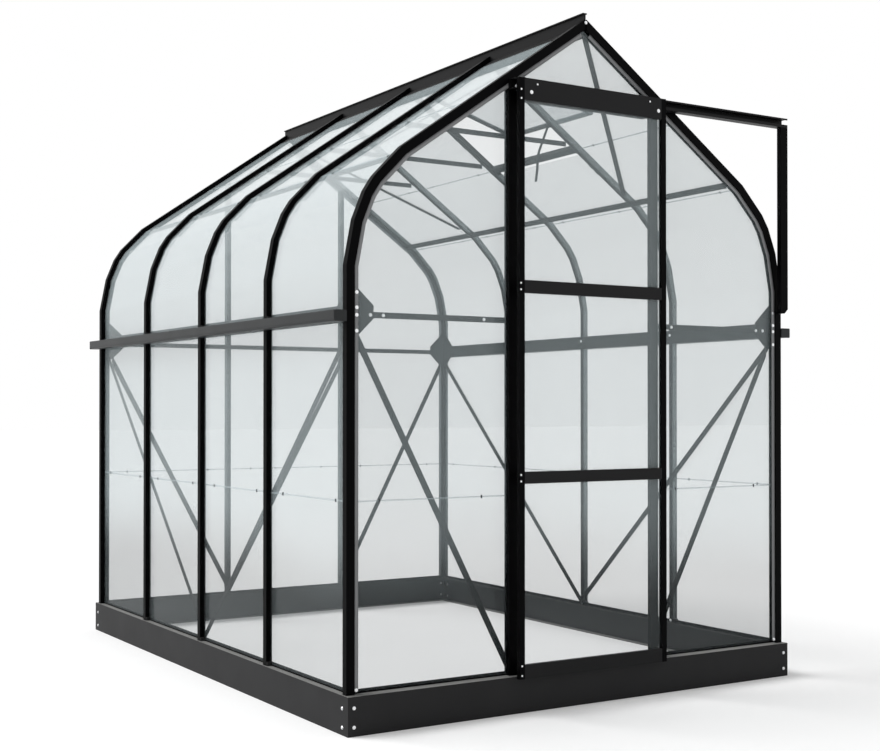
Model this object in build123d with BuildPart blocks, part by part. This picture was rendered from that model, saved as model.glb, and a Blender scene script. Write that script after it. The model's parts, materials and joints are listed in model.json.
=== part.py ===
from build123d import *
from math import cos, hypot, radians, sin, tan
import os

os.makedirs("parts", exist_ok=True)

# A walk-in glass greenhouse: an aluminium frame on a folded steel base, with bowed eaves,
# a ridge bar, gutters, one roof vent held open and a sliding door in the front gable.
# X runs across the gable, Y along the ridge with the door at -Y, Z up from the ground.
# "Depth" is measured inwards from the frame's outer face, and "inset" inwards in plan.

# ---------------------------------------------------------------- driving dimensions, mm
WIDTH = 1930.0              # base across the gable
LENGTH = 2558.0             # base along the ridge
BAYS = 4                    # glazed bays along each side
SIDE_SETBACK = 7.0          # the frame's faces stand back from the base's
GABLE_SETBACK = 25.0

BASE_HEIGHT = 127.0
BASE_SHEET = 2.5
BASE_LEDGE = 50.0           # top flange that the frame stands on
BASE_FOOT = 30.0            # bottom flange
SILL_HEIGHT = 13.0
SILL_DEPTH = 40.0
SILL_BEAD = 4.0             # metal under the bottom panes

ROOF_PITCH = 35.0           # degrees
EAVE_BEND = 1502.0          # height at which the bow leaves the vertical
EAVE_CHORDS = (150.0, 102.0, 60.0, 148.0)   # straight lengths between the bow's bends
JOINT_HEIGHT = 1340.0       # side bars meet the roof bows here, behind the gutter

CAP = 2.5                   # wall of the hollow bars
CAP_WIDTH = 26.0            # bar across its face
BOX = 18.0                  # depth of its hollow part, which stands proud of the glass
WEB = 4.0
SEAT = 2.0                  # inner flange that the glass beds on
SEAT_HALF = 8.0
CORNER_SIDE = 26.0          # corner posts and gable bows, along the side and across the gable
CORNER_GABLE = 30.0
CORNER_SEAT = 41.0

GLASS = 3.0
GLASS_GAP = 1.0             # clearance between the glass and the metal beside it
LAP_HEIGHT = 742.0          # joint between the lower and upper wall panes
PANE_TOP = 1319.0           # the wall panes meet the bent eave sheets here, at the gutter
ROOF_LAP = 431.0            # distance from the ridge plane, across, to the roof panes' joint
EAVE_REACH = 231.0          # the bent eave sheet's reach in from the wall's face

FIN_HALF = 3.0              # ridge fin
FIN_RISE = 22.0
FIN_END = 5.0
FIN_LIP = 4.0
FIN_LIP_HALF = 9.0
FIN_SHEET = 3.0
WING_REACH = 36.0

GUTTER_BOTTOM = 1320.0
GUTTER_TOP = 1356.0
GUTTER_WIDTH = 46.0
GUTTER_SHEET = 2.5
GUTTER_ROUND = 10.0
EAVE_RAIL_TOP = 1376.0      # rail behind the eave glass, which the gutter is bolted to
EAVE_RAIL_LEDGE = 11.0

POST_INNER = 297.0          # doorway posts, from the middle of the gable
POST_OUTER = 331.0
POST_WEB = 318.0
POST_SEAT_END = 334.0
BACK_BAR = 314.0

RAIL_TOP = 1355.0           # rail across the gables at the eaves
RAIL_HEIGHT = 20.0
RAIL_SHEET = 2.5
RAIL_LEDGE = 18.0
LINTEL_DROP = 10.0          # below the gable bows' seats at the doorway posts
LINTEL_HEIGHT = 26.0

PLATE = 3.0                 # bent corner plates at the eaves
PLATE_TOP = 1445.0
PLATE_BOTTOM = 1275.0
PLATE_REACH = 112.0
PLATE_NOSE = (1333.0, 1376.0)
PLATE_TOP_REACH = 38.0
PLATE_BOTTOM_REACH = 52.0

STRIP = 2.5                 # flat bracing
STRIP_WIDTH = 22.0
TIE_DROP = 307.0            # collar ties, below the roof planes' meeting line
TIE_DEPTH = 20.0
PURLIN_SETBACK = 256.0      # across, from the wall's face
PURLIN_WIDTH = 22.0
PURLIN_LEG = 18.0

DOOR_LEFT = -326.0
DOOR_RIGHT = 324.0
DOOR_BOTTOM = 122.0
DOOR_STAND_OFF = 39.0       # from the gable's face to the back of the door
DOOR_DEPTH = 17.0
DOOR_GLASS_INSET = 10.0     # from the door's front
STILE_WIDTH = 21.5
DOOR_SHEET = 2.0
HEADER_HEIGHT = 76.0
HEADER_DROP = 3.0           # below the top of the track
MID_RAILS = ((1436.0, 1480.0), (785.0, 826.0))
BOTTOM_RAIL = 48.0

TRACK_LEFT = -330.0
TRACK_OVERHANG = 4.0        # past the corner post's side
TRACK_RISE = 36.0           # above the lintel
TRACK_HEIGHT = 36.0
TRACK_DEPTH = 34.0
TRACK_SHEET = 3.0
TRACK_LIPS = (11.0, 6.0)    # lower and upper
WHEEL_RADIUS = 12.0
WHEEL_WIDTH = 7.0
WHEEL_RUN = 0.5             # running clearance over the track
WHEEL_INSET = 54.0
AXLE_RADIUS = 3.5
SUPPORT_WIDTH = 36.0
SUPPORT_DEPTH = 21.0
SUPPORT_FOOT = 1412.0
SUPPORT_TAB = 9.0           # height of the tab that stands it off the corner post
FOOT_CUT = 17.0

VENT_BAY = 1                # counted from the door, on the right-hand slope
VENT_PITCH = 16.4           # degrees below level, as propped open
VENT_HINGE = 7.0            # from the ridge plane
VENT_LENGTH = 545.0
VENT_FRAME = 20.0
VENT_DEPTH = 12.0
VENT_LEDGE = 5.0
VENT_SILL_RUN = 541.0       # down the slope from the ridge line
VENT_SILL_WIDTH = 26.0
VENT_SILL_DEPTH = 22.0
VENT_SILL_RISE = 2.0
STAY_WIDTH = 10.0
STAY_SHEET = 4.0            # its thickness, measured level
STAY_MIDDLE = 6.0           # along the vent, from its middle
STAY_SKEW = radians(36)
# each bend of the stay: how far past the sill bar's inner edge, and how far down
STAY_BENDS = ((-1.966, 126.0), (17.034, 154.0), (22.034, 205.0), (41.034, 262.0))

# ---------------------------------------------------------------- worked-out positions
BASE_X = WIDTH / 2
BASE_Y = LENGTH / 2
HALF_X = BASE_X - SIDE_SETBACK
HALF_Y = BASE_Y - GABLE_SETBACK
SILL_TOP = BASE_HEIGHT + SILL_HEIGHT
PITCH = radians(ROOF_PITCH)
TURN = (90 - ROOF_PITCH) / (len(EAVE_CHORDS) + 1)
SIDES = (("left", -1), ("right", 1))
ENDS = (("front", -1), ("back", 1))
STATIONS = [HALF_Y * (2 * n / BAYS - 1) for n in range(BAYS + 1)]
BAR_STATIONS = STATIONS[1:-1]
GLASS_DEPTH = BOX + GLASS_GAP
GLASS_BACK = GLASS_DEPTH + GLASS
SEAT_DEPTH = GLASS_BACK + GLASS_GAP
SEAT_BACK = SEAT_DEPTH + SEAT
BAR_DEPTH = SEAT_BACK + PLATE           # the bars' webs end level with the corner plates
GLASS_EDGE = SEAT_BACK + GLASS_GAP      # glass stays this far in from a corner post's faces
BORE = CAP_WIDTH / 2 - CAP


def bow_corners():
    """Outer bends of the right-hand bow, from the wall to the roof slope."""
    x, z = HALF_X, EAVE_BEND
    corners = [(x, z)]
    for bend, chord in enumerate(EAVE_CHORDS, start=1):
        lean = radians(bend * TURN)
        x -= chord * sin(lean)
        z += chord * cos(lean)
        corners.append((x, z))
    return corners


LAST_X, LAST_Z = bow_corners()[-1]
APEX = LAST_Z + LAST_X * tan(PITCH)


def roof_height(x, depth=0.0):
    """Height of the right-hand slope at an X, at a depth below its outer face."""
    return APEX - x * tan(PITCH) - depth / cos(PITCH)


def bow_line(depth, bottom, inner_x):
    """The right-hand bow's line at a depth, from a height on the wall up to an X."""
    points = [(HALF_X - depth, bottom)]
    reach = depth / cos(radians(TURN / 2))
    for bend, (x, z) in enumerate(bow_corners()):
        middle = radians((bend + 0.5) * TURN)
        points.append((x - reach * cos(middle), z - reach * sin(middle)))
    points.append((inner_x, roof_height(inner_x, depth)))
    return points


def bow_band(sign, outer, inner, bottom, inner_x):
    """Closed outline of the bow between two depths, on one side of the greenhouse."""
    points = bow_line(outer, bottom, inner_x) + bow_line(inner, bottom, inner_x)[::-1]
    return [(sign * x, z) for x, z in points]


def slope_band(sign, outer, inner, low_x, high_x):
    """Closed outline of a flat stretch of roof between two depths and two X values."""
    points = [(x, roof_height(x, outer)) for x in (low_x, high_x)]
    points += [(x, roof_height(x, inner)) for x in (high_x, low_x)]
    return [(sign * x, z) for x, z in points]


def mitred(side, half_x, half_y, near, far):
    """Plan of one side of a rectangular ring between two insets, mitred at both ends."""
    near_x, near_y = half_x - near, half_y - near
    far_x, far_y = half_x - far, half_y - far
    sign = -1 if side in ("front", "left") else 1
    if side in ("front", "back"):
        return [(-near_x, sign * near_y), (near_x, sign * near_y),
                (far_x, sign * far_y), (-far_x, sign * far_y)]
    return [(sign * near_x, -near_y), (sign * near_x, near_y),
            (sign * far_x, far_y), (sign * far_x, -far_y)]


def span(x0, x1, y0, y1):
    """Draw a rectangle between two corners in the open sketch."""
    with Locations(((x0 + x1) / 2, (y0 + y1) / 2)):
        Rectangle(abs(x1 - x0), abs(y1 - y0))


def strip(start, end, width=STRIP_WIDTH):
    """Draw a sloping flat strip with upright ends in the open sketch."""
    (x0, y0), (x1, y1) = start, end
    half = width / 2 * hypot(x1 - x0, y1 - y0) / abs(x1 - x0)
    Polygon((x0, y0 - half), (x1, y1 - half), (x1, y1 + half), (x0, y0 + half), align=None)


def gable_plane(end, inset):
    """Upright plane at an inset from a gable's face. Extruding by a minus amount goes to +Y."""
    return Plane.XZ.offset(-end * (HALF_Y - inset))


def bay_spans():
    """Y limits of the glass in each bay, clear of the bars' webs."""
    clear = WEB / 2 + GLASS_GAP
    limits = []
    for bay in range(BAYS):
        start = -HALF_Y + GLASS_EDGE if bay == 0 else STATIONS[bay] + clear
        finish = HALF_Y - GLASS_EDGE if bay == BAYS - 1 else STATIONS[bay + 1] - clear
        limits.append((start, finish))
    return limits


# ---------------------------------------------------------------- base and sill
RINGS = (                 # half sizes, then bands: inset range and height range
    ("base", BASE_X, BASE_Y, (
        (0, BASE_SHEET, 0, BASE_HEIGHT),
        (0, BASE_FOOT, 0, BASE_SHEET),
        (0, BASE_LEDGE, BASE_HEIGHT - BASE_SHEET, BASE_HEIGHT))),
    ("sill", HALF_X, HALF_Y, (
        (BOX, SILL_DEPTH, BASE_HEIGHT, BASE_HEIGHT + CAP),
        (BOX, SEAT_BACK, BASE_HEIGHT, BASE_HEIGHT + SILL_BEAD),
        (SEAT_DEPTH, SEAT_BACK, BASE_HEIGHT, SILL_TOP))),
)
for piece, half_x, half_y, bands in RINGS:
    for side in ("front", "back", "left", "right"):
        with BuildPart() as member:
            for near, far, bottom, top in bands:
                with BuildSketch(Plane.XY.offset(bottom)):
                    Polygon(*mitred(side, half_x, half_y, near, far), align=None)
                extrude(amount=top - bottom)
        member.part.label = f"{piece}_{side}"
        export_step(member.part, f"parts/{piece}_{side}.step")

# ---------------------------------------------------------------- corner posts and gable bows
CORNER_BANDS = (          # depth from the side's face, then inset from the gable's face
    (Mode.ADD, 0, BOX, 0, CORNER_SIDE),
    (Mode.ADD, 0, CORNER_GABLE, 0, BOX),
    (Mode.SUBTRACT, CAP, BOX - CAP, CAP, CORNER_SIDE - CAP),
    (Mode.SUBTRACT, CAP, CORNER_GABLE - CAP, CAP, BOX - CAP),
)
CORNER_SEATS = (
    (Mode.ADD, BOX - CAP, SEAT_BACK, BOX - CAP, SEAT_BACK),
    (Mode.ADD, SEAT_DEPTH, SEAT_BACK, SEAT_DEPTH, CORNER_SEAT),
    (Mode.ADD, SEAT_DEPTH, CORNER_SEAT, SEAT_DEPTH, SEAT_BACK),
)
for end_name, end in ENDS:
    with BuildPart() as posts:
        for bottom, bands in ((BASE_HEIGHT, CORNER_BANDS), (SILL_TOP, CORNER_SEATS)):
            for mode, outer, inner, near, far in bands:
                with BuildSketch(Plane.XY.offset(bottom)):
                    for side_name, sign in SIDES:
                        span(sign * (HALF_X - outer), sign * (HALF_X - inner),
                             end * (HALF_Y - near), end * (HALF_Y - far))
                extrude(amount=JOINT_HEIGHT - bottom, mode=mode)
    posts.part.label = f"{end_name}_corner_posts"
    export_step(posts.part, f"parts/{end_name}_corner_posts.step")

    with BuildPart() as bows:
        for mode, outer, inner, near, far in CORNER_BANDS + CORNER_SEATS:
            with BuildSketch(gable_plane(end, near)):
                for side_name, sign in SIDES:
                    Polygon(*bow_band(sign, outer, inner, JOINT_HEIGHT, FIN_HALF), align=None)
            extrude(amount=end * (far - near), mode=mode)
    bows.part.label = f"{end_name}_gable_bows"
    export_step(bows.part, f"parts/{end_name}_gable_bows.step")

# ---------------------------------------------------------------- side bars and roof bows
BAR_BANDS = (             # depth range, half width of the bar, foot, upper end from the ridge
    (Mode.ADD, 0, BOX, CAP_WIDTH / 2, BASE_HEIGHT, FIN_HALF),
    (Mode.SUBTRACT, CAP, BOX - CAP, BORE, BASE_HEIGHT, FIN_HALF),
    (Mode.ADD, BOX, BAR_DEPTH, WEB / 2, SILL_TOP, WING_REACH),
    (Mode.ADD, SEAT_DEPTH, SEAT_BACK, SEAT_HALF, SILL_TOP, WING_REACH),
)
for side_name, sign in SIDES:
    with BuildPart() as bars:
        for mode, outer, inner, half, bottom, reach in BAR_BANDS:
            with BuildSketch(Plane.XY.offset(bottom)):
                for station in BAR_STATIONS:
                    span(sign * (HALF_X - outer), sign * (HALF_X - inner), station - half, station + half)
            extrude(amount=JOINT_HEIGHT - bottom, mode=mode)
    bars.part.label = f"{side_name}_side_bars"
    export_step(bars.part, f"parts/{side_name}_side_bars.step")

    with BuildPart() as bows:
        for station in BAR_STATIONS:
            for mode, outer, inner, half, bottom, reach in BAR_BANDS:
                with BuildSketch(Plane.XZ.offset(-station)):
                    Polygon(*bow_band(sign, outer, inner, JOINT_HEIGHT, reach), align=None)
                extrude(amount=half, both=True, mode=mode)
    bows.part.label = f"{side_name}_roof_bows"
    export_step(bows.part, f"parts/{side_name}_roof_bows.step")

# ---------------------------------------------------------------- ridge bar
FIN_TOP = APEX + FIN_RISE
FIN_BOTTOM = roof_height(0, CORNER_GABLE)
VENT_LEAN = radians(VENT_PITCH)
VENT_TOP = roof_height(FIN_HALF)
VENT_HEEL = VENT_HINGE - VENT_DEPTH * sin(VENT_LEAN)
VENT_SEAT = VENT_TOP - VENT_DEPTH * cos(VENT_LEAN) - (FIN_HALF + VENT_LEDGE - VENT_HEEL) * tan(VENT_LEAN)
VENT_START = STATIONS[VENT_BAY] + CAP_WIDTH / 2 + GLASS_GAP
VENT_FINISH = STATIONS[VENT_BAY + 1] - CAP_WIDTH / 2 - GLASS_GAP
with BuildPart() as ridge_bar:
    with BuildSketch(gable_plane(1, FIN_END)):
        span(-FIN_HALF, FIN_HALF, FIN_BOTTOM, FIN_TOP)
        span(-FIN_LIP_HALF, FIN_LIP_HALF, FIN_TOP - FIN_LIP, FIN_TOP)
    extrude(amount=2 * (HALF_Y - FIN_END))
    with BuildSketch(gable_plane(1, GLASS_EDGE)):
        for side_name, sign in SIDES:
            Polygon(*slope_band(sign, BOX, BOX + FIN_SHEET, 0, WING_REACH), align=None)
    extrude(amount=2 * (HALF_Y - GLASS_EDGE))
    with BuildSketch(Plane.XZ.offset(-VENT_START)):
        span(0, FIN_HALF + VENT_LEDGE, VENT_SEAT - FIN_SHEET, VENT_SEAT)
    extrude(amount=VENT_START - VENT_FINISH)
ridge_bar.part.label = "ridge_bar"
export_step(ridge_bar.part, "parts/ridge_bar.step")

# ---------------------------------------------------------------- gutters and eave rails
FAR = {-1: 0, 1: -1}        # which of two corners, sorted by X, is the one away from the wall
PLATE_EDGE_X = HALF_X - PLATE_REACH
PLATE_EDGE_Y = HALF_Y - PLATE_REACH
for side_name, sign in SIDES:
    with BuildPart() as gutter:
        with BuildSketch(gable_plane(1, 0)) as outline:
            span(sign * HALF_X, sign * (HALF_X + GUTTER_WIDTH), GUTTER_BOTTOM, GUTTER_TOP)
            lowest = outline.vertices().group_by(Axis.Y)[0]
            fillet(lowest.sort_by(Axis.X)[FAR[sign]], GUTTER_ROUND)
        extrude(amount=2 * HALF_Y)
        with BuildSketch(gable_plane(1, GUTTER_SHEET)) as hollow:
            span(sign * (HALF_X + GUTTER_SHEET), sign * (HALF_X + GUTTER_WIDTH - GUTTER_SHEET),
                 GUTTER_BOTTOM + GUTTER_SHEET, GUTTER_TOP)
            lowest = hollow.vertices().group_by(Axis.Y)[0]
            fillet(lowest.sort_by(Axis.X)[FAR[sign]], GUTTER_ROUND - GUTTER_SHEET)
        extrude(amount=2 * (HALF_Y - GUTTER_SHEET), mode=Mode.SUBTRACT)
    gutter.part.label = f"gutter_{side_name}"
    export_step(gutter.part, f"parts/gutter_{side_name}.step")

    with BuildPart() as eave_rail:
        for bay in range(BAYS):
            start = max(STATIONS[bay] + WEB / 2, -PLATE_EDGE_Y)
            finish = min(STATIONS[bay + 1] - WEB / 2, PLATE_EDGE_Y)
            with BuildSketch(Plane.XZ.offset(-start)):
                span(sign * (HALF_X - SEAT_BACK), sign * (HALF_X - SEAT_BACK - RAIL_SHEET),
                     GUTTER_BOTTOM, EAVE_RAIL_TOP)
                span(sign * (HALF_X - SEAT_BACK), sign * (HALF_X - SEAT_BACK - EAVE_RAIL_LEDGE),
                     EAVE_RAIL_TOP - RAIL_SHEET, EAVE_RAIL_TOP)
            extrude(amount=start - finish)
    eave_rail.part.label = f"{side_name}_eave_rail"
    export_step(eave_rail.part, f"parts/{side_name}_eave_rail.step")

# ---------------------------------------------------------------- purlins and collar ties
PURLIN_X = HALF_X - PURLIN_SETBACK
for side_name, sign in SIDES:
    upper = PURLIN_X - PURLIN_WIDTH / 2 * cos(PITCH)
    lower = PURLIN_X + PURLIN_WIDTH / 2 * cos(PITCH)
    with BuildPart() as purlin:
        with BuildSketch(gable_plane(1, SEAT_BACK)):
            Polygon(*slope_band(sign, BAR_DEPTH, BAR_DEPTH + STRIP, upper, lower), align=None)
            Polygon(*slope_band(sign, BAR_DEPTH, BAR_DEPTH + PURLIN_LEG, upper, upper + STRIP), align=None)
        extrude(amount=2 * (HALF_Y - SEAT_BACK))
    purlin.part.label = f"{side_name}_purlin"
    export_step(purlin.part, f"parts/{side_name}_purlin.step")

TIE_TOP = APEX - TIE_DROP + TIE_DEPTH / 2
TIE_END = (APEX - TIE_TOP - GLASS_EDGE / cos(PITCH)) / tan(PITCH)
with BuildPart() as collar_ties:
    for station in BAR_STATIONS:
        with BuildSketch(Plane.XZ.offset(-(station + WEB / 2))):
            span(-TIE_END, TIE_END, TIE_TOP - TIE_DEPTH, TIE_TOP)
        extrude(amount=-STRIP)
collar_ties.part.label = "collar_ties"
export_step(collar_ties.part, "parts/collar_ties.step")

# ---------------------------------------------------------------- corner plates at the eaves
with BuildPart() as corner_plates:
    for side_name, sign in SIDES:
        for end_name, end in ENDS:
            outline = ((SEAT_BACK, PLATE_TOP), (PLATE_TOP_REACH, PLATE_TOP), (PLATE_REACH, PLATE_NOSE[1]),
                       (PLATE_REACH, PLATE_NOSE[0]), (PLATE_BOTTOM_REACH, PLATE_BOTTOM),
                       (SEAT_BACK, PLATE_BOTTOM))
            with BuildSketch(gable_plane(end, SEAT_BACK)):
                Polygon(*[(sign * (HALF_X - reach), z) for reach, z in outline], align=None)
            extrude(amount=end * PLATE)
            with BuildSketch(Plane.YZ.offset(sign * (HALF_X - SEAT_BACK))):
                Polygon(*[(end * (HALF_Y - reach), z) for reach, z in outline], align=None)
            extrude(amount=-sign * PLATE)
corner_plates.part.label = "corner_plates"
export_step(corner_plates.part, "parts/corner_plates.step")


# ---------------------------------------------------------------- gable posts and rails
def gable_member(x0, x1, bottom, depth):
    """Upright outline in a gable between two X values, cut to the bow's slope at a depth."""
    inner, outer = sorted((abs(x0), abs(x1)))
    sign = 1 if x0 + x1 > 0 else -1
    points = [(inner, bottom), (outer, bottom),
              (outer, roof_height(outer, depth)), (inner, roof_height(inner, depth))]
    return [(sign * x, z) for x, z in points]


def post_bands(inner, outer, web, seat_start, seat_end):
    """Bands of a gable post: X range, inset range, foot, and depth at which the bow cuts it."""
    return (
        (Mode.ADD, inner, outer, 0, BOX, BASE_HEIGHT, CORNER_GABLE),
        (Mode.SUBTRACT, inner + CAP, outer - CAP, CAP, BOX - CAP, BASE_HEIGHT, CORNER_GABLE),
        (Mode.ADD, web, web + WEB, BOX, BAR_DEPTH, SILL_TOP, CORNER_SEAT),
        (Mode.ADD, seat_start, seat_end, SEAT_DEPTH, SEAT_BACK, SILL_TOP, CORNER_SEAT),
    )


POST_BANDS = post_bands(POST_INNER, POST_OUTER, POST_WEB, POST_WEB, POST_SEAT_END)
BACK_BANDS = post_bands(BACK_BAR - CAP_WIDTH / 2, BACK_BAR + CAP_WIDTH / 2, BACK_BAR - WEB / 2,
                        BACK_BAR - SEAT_HALF, BACK_BAR + SEAT_HALF)
for name, end, bands in (("door_posts", -1, POST_BANDS), ("back_posts", 1, BACK_BANDS)):
    with BuildPart() as posts:
        for mode, inner, outer, near, far, bottom, cut in bands:
            with BuildSketch(gable_plane(end, near)):
                for side_name, sign in SIDES:
                    Polygon(*gable_member(sign * inner, sign * outer, bottom, cut), align=None)
            extrude(amount=end * (far - near), mode=mode)
    posts.part.label = name
    export_step(posts.part, f"parts/{name}.step")

POST_FACE = POST_WEB + WEB
BACK_FACE = BACK_BAR + WEB / 2
RAIL_RUNS = {
    "front": ((-PLATE_EDGE_X, -POST_FACE), (POST_FACE, PLATE_EDGE_X)),
    "back": ((-PLATE_EDGE_X, -BACK_FACE), (-BACK_FACE + WEB, BACK_FACE - WEB), (BACK_FACE, PLATE_EDGE_X)),
}
for end_name, end in ENDS:
    with BuildPart() as rails:
        for x0, x1 in RAIL_RUNS[end_name]:
            for bottom, far in ((RAIL_TOP - RAIL_HEIGHT, RAIL_SHEET), (RAIL_TOP - RAIL_SHEET, RAIL_LEDGE)):
                with BuildSketch(gable_plane(end, SEAT_BACK)):
                    span(x0, x1, bottom, RAIL_TOP)
                extrude(amount=end * far)
    rails.part.label = f"{end_name}_gable_rails"
    export_step(rails.part, f"parts/{end_name}_gable_rails.step")

LINTEL_TOP = roof_height(POST_OUTER, CORNER_SEAT) - LINTEL_DROP
LINTEL_BOTTOM = LINTEL_TOP - LINTEL_HEIGHT
with BuildPart() as lintel:
    with BuildSketch(gable_plane(-1, SEAT_BACK)):
        span(-POST_WEB, POST_WEB, LINTEL_BOTTOM, LINTEL_TOP)
    extrude(amount=-RAIL_SHEET)
    with BuildSketch(gable_plane(-1, CAP)):
        span(-POST_INNER, POST_INNER, LINTEL_BOTTOM, LINTEL_BOTTOM + RAIL_SHEET)
    extrude(amount=-(SEAT_BACK + RAIL_LEDGE))
lintel.part.label = "door_lintel"
export_step(lintel.part, "parts/door_lintel.step")

# ---------------------------------------------------------------- bracing
BRACE_HIGH = (HALF_X - PLATE_BOTTOM_REACH, PLATE_BOTTOM - 5)
BRACE_FLOOR = BASE_HEIGHT + CAP + GLASS_GAP


def brace_foot(run):
    """Height of a brace's lower end that keeps its corner just clear of the sill."""
    rise = BRACE_HIGH[1] - BRACE_FLOOR
    return BRACE_FLOOR + STRIP_WIDTH / 2 * hypot(run, rise) / run


with BuildPart() as front_braces:
    for side_name, sign in SIDES:
        with BuildSketch(gable_plane(-1, BAR_DEPTH)):
            strip((sign * POST_WEB, brace_foot(BRACE_HIGH[0] - POST_WEB)),
                  (sign * BRACE_HIGH[0], BRACE_HIGH[1]))
        extrude(amount=-STRIP)
front_braces.part.label = "front_gable_braces"
export_step(front_braces.part, "parts/front_gable_braces.step")

MIDDLE_BRACE_TOP = RAIL_TOP - RAIL_HEIGHT - STRIP_WIDTH * 1.5
with BuildPart() as back_braces:
    with BuildSketch(gable_plane(1, BAR_DEPTH)):
        for side_name, sign in SIDES:
            strip((sign * BACK_BAR, brace_foot(BRACE_HIGH[0] - BACK_BAR)),
                  (sign * BRACE_HIGH[0], BRACE_HIGH[1]))
        strip((-BACK_BAR, brace_foot(2 * BACK_BAR)), (BACK_BAR, MIDDLE_BRACE_TOP))
    extrude(amount=STRIP)
back_braces.part.label = "back_gable_braces"
export_step(back_braces.part, "parts/back_gable_braces.step")

SIDE_BRACE_HIGH = (HALF_Y - CORNER_SEAT - GLASS_GAP, PLATE_BOTTOM + 9)
for side_name, sign in SIDES:
    with BuildPart() as braces:
        for end_name, end in ENDS:
            with BuildSketch(Plane.YZ.offset(sign * (HALF_X - BAR_DEPTH))):
                strip((0, brace_foot(SIDE_BRACE_HIGH[0])), (end * SIDE_BRACE_HIGH[0], SIDE_BRACE_HIGH[1]))
            extrude(amount=-sign * STRIP)
    braces.part.label = f"{side_name}_side_braces"
    export_step(braces.part, f"parts/{side_name}_side_braces.step")


def slope_plane(sign, depth):
    """Plane in a roof slope at a depth. Local X runs down from the ridge and Z faces out."""
    down = (sign * cos(PITCH), 0, -sin(PITCH))
    out = (sign * sin(PITCH), 0, cos(PITCH))
    return Plane(origin=(0, 0, APEX), x_dir=down, z_dir=out).offset(-depth)


ROOF_BRACE_TOP = 48.0       # down the slope from the ridge line
ROOF_BRACE_CLEAR = STRIP_WIDTH * 0.75
ROOF_BRACE_RUN = (ROOF_BRACE_TOP, (PURLIN_X - PURLIN_WIDTH) / cos(PITCH))
ROOF_BRACE_Y = (HALF_Y - SEAT_BACK - ROOF_BRACE_CLEAR, STATIONS[-2] + WEB / 2 + ROOF_BRACE_CLEAR)
with BuildPart() as roof_braces:
    for side_name, sign in SIDES:
        for end_name, end in ENDS:
            with BuildSketch(slope_plane(sign, SEAT_BACK + STRIP)):
                strip((ROOF_BRACE_RUN[0], sign * end * ROOF_BRACE_Y[0]),
                      (ROOF_BRACE_RUN[1], sign * end * ROOF_BRACE_Y[1]))
            extrude(amount=STRIP)
roof_braces.part.label = "roof_braces"
export_step(roof_braces.part, "parts/roof_braces.step")

# ---------------------------------------------------------------- door track
TRACK_TOP = LINTEL_TOP + TRACK_RISE
TRACK_RIGHT = HALF_X + TRACK_OVERHANG
TRACK_FRONT = -HALF_Y - TRACK_DEPTH
TRACK_BOTTOM = TRACK_TOP - TRACK_HEIGHT
with BuildPart() as door_track:
    with BuildSketch(Plane.YZ.offset(TRACK_LEFT)):
        span(-HALF_Y - TRACK_SHEET, -HALF_Y, TRACK_BOTTOM, TRACK_TOP)
        span(TRACK_FRONT, -HALF_Y, TRACK_TOP - TRACK_SHEET, TRACK_TOP)
        span(TRACK_FRONT, -HALF_Y, TRACK_BOTTOM, TRACK_BOTTOM + TRACK_SHEET)
        span(TRACK_FRONT, TRACK_FRONT + TRACK_SHEET, TRACK_BOTTOM, TRACK_BOTTOM + TRACK_LIPS[0])
        span(TRACK_FRONT, TRACK_FRONT + TRACK_SHEET, TRACK_TOP - TRACK_LIPS[1], TRACK_TOP)
    extrude(amount=TRACK_RIGHT - TRACK_LEFT)
door_track.part.label = "door_track"
export_step(door_track.part, "parts/door_track.step")

SUPPORT_LEFT = TRACK_RIGHT - SUPPORT_WIDTH
with BuildPart() as track_support:
    with BuildSketch(Plane.XZ.offset(-TRACK_FRONT)):
        Polygon((SUPPORT_LEFT, TRACK_BOTTOM), (TRACK_RIGHT, TRACK_BOTTOM),
                (TRACK_RIGHT, SUPPORT_FOOT + FOOT_CUT), (TRACK_RIGHT - FOOT_CUT, SUPPORT_FOOT),
                (SUPPORT_LEFT, SUPPORT_FOOT), align=None)
    extrude(amount=-TRACK_SHEET)
    with BuildSketch(Plane.XY.offset(SUPPORT_FOOT)):
        span(SUPPORT_LEFT, SUPPORT_LEFT + TRACK_SHEET, TRACK_FRONT, TRACK_FRONT + SUPPORT_DEPTH)
    extrude(amount=TRACK_BOTTOM - SUPPORT_FOOT)
    with BuildSketch(Plane.XY.offset(SUPPORT_FOOT)):
        span(SUPPORT_LEFT, TRACK_RIGHT - FOOT_CUT, TRACK_FRONT, -HALF_Y)
    extrude(amount=SUPPORT_TAB)
track_support.part.label = "track_support"
export_step(track_support.part, "parts/track_support.step")

# ---------------------------------------------------------------- sliding door
DOOR_BACK = -HALF_Y - DOOR_STAND_OFF
DOOR_FRONT = DOOR_BACK - DOOR_DEPTH
DOOR_TOP = TRACK_TOP - HEADER_DROP
with BuildPart() as door_stiles:
    with BuildSketch(Plane.XY.offset(DOOR_BOTTOM)):
        for edge, inward in ((DOOR_LEFT, 1), (DOOR_RIGHT, -1)):
            span(edge, edge + inward * STILE_WIDTH, DOOR_FRONT, DOOR_BACK)
            with Locations((edge + inward * STILE_WIDTH / 2, (DOOR_FRONT + DOOR_BACK) / 2)):
                Rectangle(STILE_WIDTH - 2 * DOOR_SHEET, DOOR_DEPTH - 2 * DOOR_SHEET, mode=Mode.SUBTRACT)
    extrude(amount=DOOR_TOP - DOOR_BOTTOM)
door_stiles.part.label = "door_stiles"
export_step(door_stiles.part, "parts/door_stiles.step")

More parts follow.
